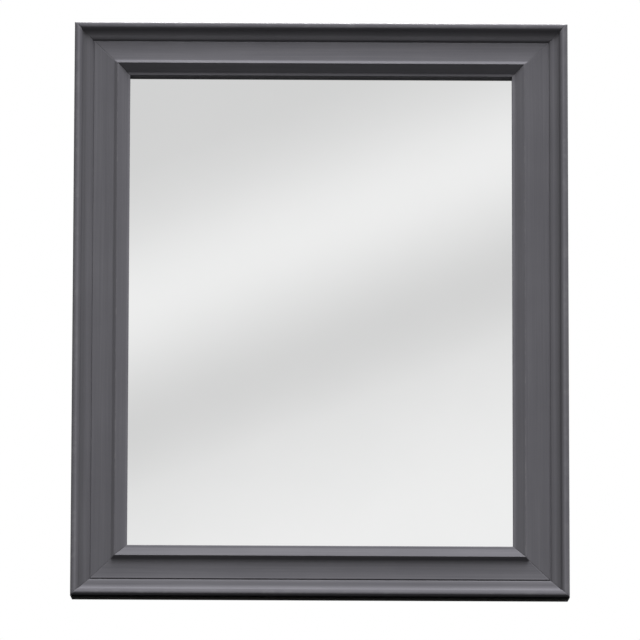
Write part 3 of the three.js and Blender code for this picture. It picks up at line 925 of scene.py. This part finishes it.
def add_strap(label, side):
    """The folded strip cut to the strap's face, with two screw holes."""
    place = hanger_matrix(side)
    half = STRAP_WIDTH / 2
    tall = 2 * EYE_OUTER
    radius = SCREW_RADIUS + FIT_GAP
    out_to_y = Matrix.Rotation(math.pi / 2, 4, "X").inverted()
    up_to_z = Matrix(((0, 0, -1, 0), (0, 1, 0, 0), (1, 0, 0, 0), (0, 0, 0, 1)))
    folded = prism(strap_profile(), -half, half, place @ up_to_z @ out_to_y)
    piece = link_mesh(label + "_strap", folded, [ZINC])
    boolean(piece, [prism(strap_face(), -tall, tall, place)], "INTERSECT")
    hole = [(0, -tall), (radius, -tall), (radius, tall), (0, tall)]
    boolean(piece, [lathe(hole, STRAP_STEPS, place @ shift(0, 0, -drop)) for drop in SCREW_DROPS.values()])
    ease_edges(piece, STRAP_EASING)
    finish_piece(piece, "frame", label + "_hanger_strap")


def ring_line():
    """The D-ring's centre line as (x, z), from the middle of its bar all the way round."""
    bar = RING_HALF_WIDTH - RING_CORNER_RADIUS
    bow = -RING_CORNER_RADIUS - RING_LEG
    half_bar = [bar * i / RING_BAR_STEPS for i in range(RING_BAR_STEPS + 1)]
    line = [(x, 0.0) for x in half_bar]
    line += [(bar + x, z - RING_CORNER_RADIUS)
             for x, z in arc_points(RING_CORNER_RADIUS, math.pi / 2, 0, RING_CORNER_STEPS)[1:]]
    line += [(x, z + bow) for x, z in arc_points(RING_HALF_WIDTH, 0, -math.pi, RING_BOW_STEPS)]
    line += [(x - bar, z - RING_CORNER_RADIUS)
             for x, z in arc_points(RING_CORNER_RADIUS, math.pi, math.pi / 2, RING_CORNER_STEPS)]
    line += [(x - bar, 0.0) for x in half_bar[1:-1]]
    return line


def add_ring(label, side):
    """Round wire swept along the closed D."""
    line = [Vector((x, 0, z)) for x, z in ring_line()]
    count = len(line)
    sideways = Vector((0, 1, 0))
    wire = arc_points(RING_WIRE_RADIUS, 0, 2 * math.pi, WIRE_SIDES)[:-1]
    points = []
    faces = []
    for i, centre in enumerate(line):
        outward = (line[(i + 1) % count] - line[i - 1]).normalized().cross(sideways)
        points += [centre + outward * x + sideways * y for x, y in wire]
        near, far = i * WIRE_SIDES, (i + 1) % count * WIRE_SIDES
        for k in range(WIRE_SIDES):
            j = (k + 1) % WIRE_SIDES
            faces.append((near + k, near + j, far + j, far + k))
    mesh = mesh_from(points, faces, hanger_matrix(side) @ Matrix.Rotation(RING_TILT, 4, "X"))
    piece = link_mesh(label + "_ring_wire", mesh, [ZINC])
    finish_piece(piece, label + "_ring", label + "_d_ring")


def screw_profile():
    """Half of a pan-head screw, from its tip to the top of its domed head."""
    dome = [(SCREW_HEAD_RADIUS * x, SCREW_HEAD_HEIGHT * (SCREW_DOME_START + (1 - SCREW_DOME_START) * y))
            for x, y in arc_points(1, 0, math.radians(81), 9)]
    return [(0, -SCREW_LENGTH), (SCREW_RADIUS, SCREW_TIP - SCREW_LENGTH), (SCREW_RADIUS, 0),
            (SCREW_HEAD_RADIUS - SCREW_HEAD_ARRIS, 0), (SCREW_HEAD_RADIUS, SCREW_HEAD_ARRIS),
            *dome, (0, SCREW_HEAD_HEIGHT)]


def add_screw(label, side, place):
    """A pan-head screw with a rounded head and a cross recess."""
    matrix = hanger_matrix(side) @ shift(0, STRAP_BACK - EYE_OUTER + FIT_GAP, -SCREW_DROPS[place])
    piece = link_mesh(f"{label}_{place}_screw", lathe(screw_profile(), TURNED_STEPS, matrix), [ZINC])
    half, thin = SCREW_RECESS_LENGTH / 2, SCREW_RECESS_WIDTH / 2
    cross = [(half, thin), (thin, thin), (thin, half), (-thin, half), (-thin, thin), (-half, thin),
             (-half, -thin), (-thin, -thin), (-thin, -half), (thin, -half), (thin, -thin), (half, -thin)]
    deep = SCREW_HEAD_HEIGHT - SCREW_RECESS_DEPTH
    turned = matrix @ Matrix.Rotation(SCREW_TURN, 4, "Y")
    boolean(piece, [prism(cross, deep, 2 * SCREW_HEAD_HEIGHT, turned)])
    finish_piece(piece, "frame", f"{label}_strap_screw_{place}")


def add_hanger(label, side):
    add_strap(label, side)
    add_ring(label, side)
    for place in SCREW_DROPS:
        add_screw(label, side, place)


# ---- Bumpers ----

def add_bumper(name, x, z):
    """A turned rubber foot with a rounded rim and a flat end for the wall."""
    tip = BUMPER_RADIUS - BUMPER_TAPER
    rim = [(tip - BUMPER_EDGE + u, v - BUMPER_EDGE)
           for u, v in arc_points(BUMPER_EDGE, 0, math.pi / 2, BUMPER_EDGE_STEPS)]
    profile = [(0, -BUMPER_HEIGHT), (BUMPER_RADIUS - BUMPER_ARRIS, -BUMPER_HEIGHT),
               (BUMPER_RADIUS, BUMPER_ARRIS - BUMPER_HEIGHT), *rim, (0, 0)]
    place = shift(x * (FRAME_WIDTH / 2 - BUMPER_INSET), 0, z * (FRAME_HEIGHT / 2 - BUMPER_FROM_CORNER))
    piece = link_mesh(name + "_rubber", lathe(profile, TURNED_STEPS, place), [RUBBER])
    finish_piece(piece, "frame", name)


# ---- CAD nodes that keep their own shape ----

def dress_cad_nodes():
    """V-nails and points stay as the CAD has them, in zinc; the hidden foam gets its own finish."""
    finishes = {"v_nail": ZINC, "framer_point": ZINC, "foam_sheet": FOAM}
    for name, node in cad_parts.items():
        for start, material in finishes.items():
            if name.startswith(start):
                node.data.materials.clear()
                node.data.materials.append(material)


# ---- Studio, in metres ----

FLOOR_SIZE = 30.0
FLOOR_DROP = 0.0015  # below the frame
FLOOR_TONES = (0.235, 0.25)
FLOOR_DARK = (0.04, 0.04, 0.04)  # the floor as the frame's paint meets it
FLOOR_FADE = (0.9, 3.2)  # how far out the floor begins and ends its fade into the white
CARD_SIZE = 2.0
CARD_DISTANCE = 1.5
CARD_TONES = (0.689, 0.892)
CARD_FADE = (0.62, 0.98)  # how far out the card begins and ends its fade
BAND_TILT = math.radians(22)
# The card's bands, as (how far across it, how far from its dark tone to its light one).
CARD_BANDS = ((0.25, 0), (0.361, 0), (0.405, 0.5), (0.451, 1), (0.492, 0.5), (0.531, 0), (0.576, 0.5),
              (0.655, 1), (0.76, 1))
# The sky's tones, as (height, tone), with 0 straight down and 1 straight up.
SKY_FILL = ((0.0, 0.06), (0.45, 0.13), (0.62, 0.2), (0.8, 0.5), (1.0, 0.9))
SKY_SHEEN = ((0.0, 0.02), (0.35, 0.04), (0.5, 0.15), (0.62, 0.5), (0.75, 0.9), (1.0, 1.3))
SKY_MIRRORED = ((0.0, 0.55), (0.4, 0.66), (0.5, 0.76), (0.62, 0.84), (1.0, 0.9))
WHITE = (1.0, 1.0, 1.0)
VIEW_BOUNCES = 1.5  # a sharp ray that has bounced more often than this is light and no longer a view
LAMPS = [
    {"name": "overhead", "place": (1.6, -3.4, 11.4), "size": (4.0, 4.0), "power": 4180, "glossy": False},
    {"name": "behind", "place": (-0.9, 4.0, 4.0), "size": (2.4, 2.0), "power": 420, "glossy": True},
]


def straight_view(shader):
    """1 for what the camera sees, directly or in the mirror's glass, and 0 for light on the paint."""
    light = shader.node("ShaderNodeLightPath").outputs
    sharp = shader.math("MAXIMUM", light["Is Camera Ray"], light["Is Singular Ray"])
    bounces = shader.math("ADD", light["Glossy Depth"], light["Diffuse Depth"])
    return shader.math("MULTIPLY", sharp, shader.math("LESS_THAN", bounces, VIEW_BOUNCES))


def add_square(name, size, upright, material):
    """A flat square on the stage, either lying or upright."""
    half = size / 2
    corners = [(-half, -half), (half, -half), (half, half), (-half, half)]
    mesh = bpy.data.meshes.new(name)
    mesh.from_pydata([(a, 0, b) if upright else (a, b, 0) for a, b in corners], [], [(0, 1, 2, 3)])
    square = link_mesh(name, mesh, [material])
    return square


def add_floor():
    """A pale floor that the mirror would stand on. It fades into the white with distance, and it
    lets the camera through from below. To light on the frame it is dark, so that the underside
    stays as dark as in the photograph."""
    material, shader = new_material("floor")
    mottle = shader.noise(shader.coordinates(), scale=2.5, detail=3)
    pale = shader.plain("ShaderNodeBsdfDiffuse", shader.ramp(mottle, list(zip((0.3, 0.7), FLOOR_TONES))))
    dark = shader.plain("ShaderNodeBsdfDiffuse", FLOOR_DARK)
    lit = shader.mix(straight_view(shader), dark, pale)
    gone = shader.ramp(shader.remap(shader.reach(), source=FLOOR_FADE), [(0, 0.0), (1, 1.0)], "EASE")
    below = shader.node("ShaderNodeNewGeometry").outputs["Backfacing"]
    through = shader.plain("ShaderNodeBsdfTransparent")
    shader.output(shader.mix(shader.math("MAXIMUM", gone, below), lit, through))
    floor = add_square("floor", FLOOR_SIZE, False, material)
    floor.location.z = -FRAME_HEIGHT / 2 * MM - FLOOR_DROP


def add_card():
    """A softly banded card in front, which only the mirror's glass shows."""
    material, shader = new_material("card")
    place = shader.axes()
    rise = -math.cos(BAND_TILT) * math.cos(CAMERA_ELEVATION)
    along = shader.weigh((place["Z"], rise), (place["X"], math.sin(BAND_TILT)))
    low, high = CARD_TONES
    bands = [(position, low + (high - low) * share) for position, share in CARD_BANDS]
    tone = shader.ramp(shader.remap(along, source=(-1, 1)), bands, "CARDINAL")
    kept = shader.ramp(shader.remap(shader.reach(), source=CARD_FADE), [(0, 1.0), (1, 0.0)], "EASE")
    shown = shader.math("MULTIPLY", straight_view(shader), kept)
    through = shader.plain("ShaderNodeBsdfTransparent")
    shader.output(shader.mix(shown, through, shader.plain("ShaderNodeEmission", tone)))
    card = add_square("card", CARD_SIZE, True, material)
    card.location = (0, -CARD_DISTANCE, CARD_DISTANCE * math.tan(-CAMERA_ELEVATION))
    card.visible_camera = False
    card.visible_diffuse = False
    card.visible_shadow = False


def add_world():
    """White behind the object; softer light from above than from below for everything else."""
    world = bpy.data.worlds.new("world")
    bpy.context.scene.world = world
    world.use_nodes = True
    shader = Shader(world.node_tree)
    height = shader.remap(shader.axes("Generated")["Z"], source=(-1, 1))
    fill, sheen, mirrored = (shader.ramp(height, stops) for stops in (SKY_FILL, SKY_SHEEN, SKY_MIRRORED))
    light = shader.node("ShaderNodeLightPath").outputs
    first = shader.math("LESS_THAN", light["Diffuse Depth"], 0.5)
    glossy = shader.math("MULTIPLY", light["Is Glossy Ray"], first)
    lit = shader.blend("MIX", glossy, fill, sheen)
    lit = shader.blend("MIX", straight_view(shader), lit, mirrored)
    white = shader.math("MAXIMUM", light["Is Camera Ray"], light["Is Transmission Ray"])
    shader.output(shader.plain("ShaderNodeBackground", shader.blend("MIX", white, lit, WHITE)))


def add_lamp(name, place, size, power, glossy):
    """A rectangular lamp that faces the middle of the object."""
    data = bpy.data.lights.new(name, "AREA")
    data.shape = "RECTANGLE"
    data.size, data.size_y = size
    data.energy = power
    lamp = bpy.data.objects.new(name, data)
    lamp.location = place
    lamp.rotation_mode = "QUATERNION"
    lamp.rotation_quaternion = (-Vector(place)).to_track_quat("-Z", "Y")
    lamp.visible_glossy = glossy
    bpy.context.collection.objects.link(lamp)


# ---- Making it ----

add_camera()
for one_side in SIDES:
    add_side(one_side)
add_pane()
add_board()
dress_cad_nodes()
add_hanger("left", -1)
add_hanger("right", 1)
for vertical, z_sign in (("bottom", -1), ("top", 1)):
    for lateral, x_sign in (("left", -1), ("right", 1)):
        add_bumper(f"bumper_{vertical}_{lateral}", x_sign, z_sign)
add_floor()
add_card()
add_world()
for lamp_settings in LAMPS:
    add_lamp(**lamp_settings)
bpy.context.scene.view_settings.view_transform = "Standard"
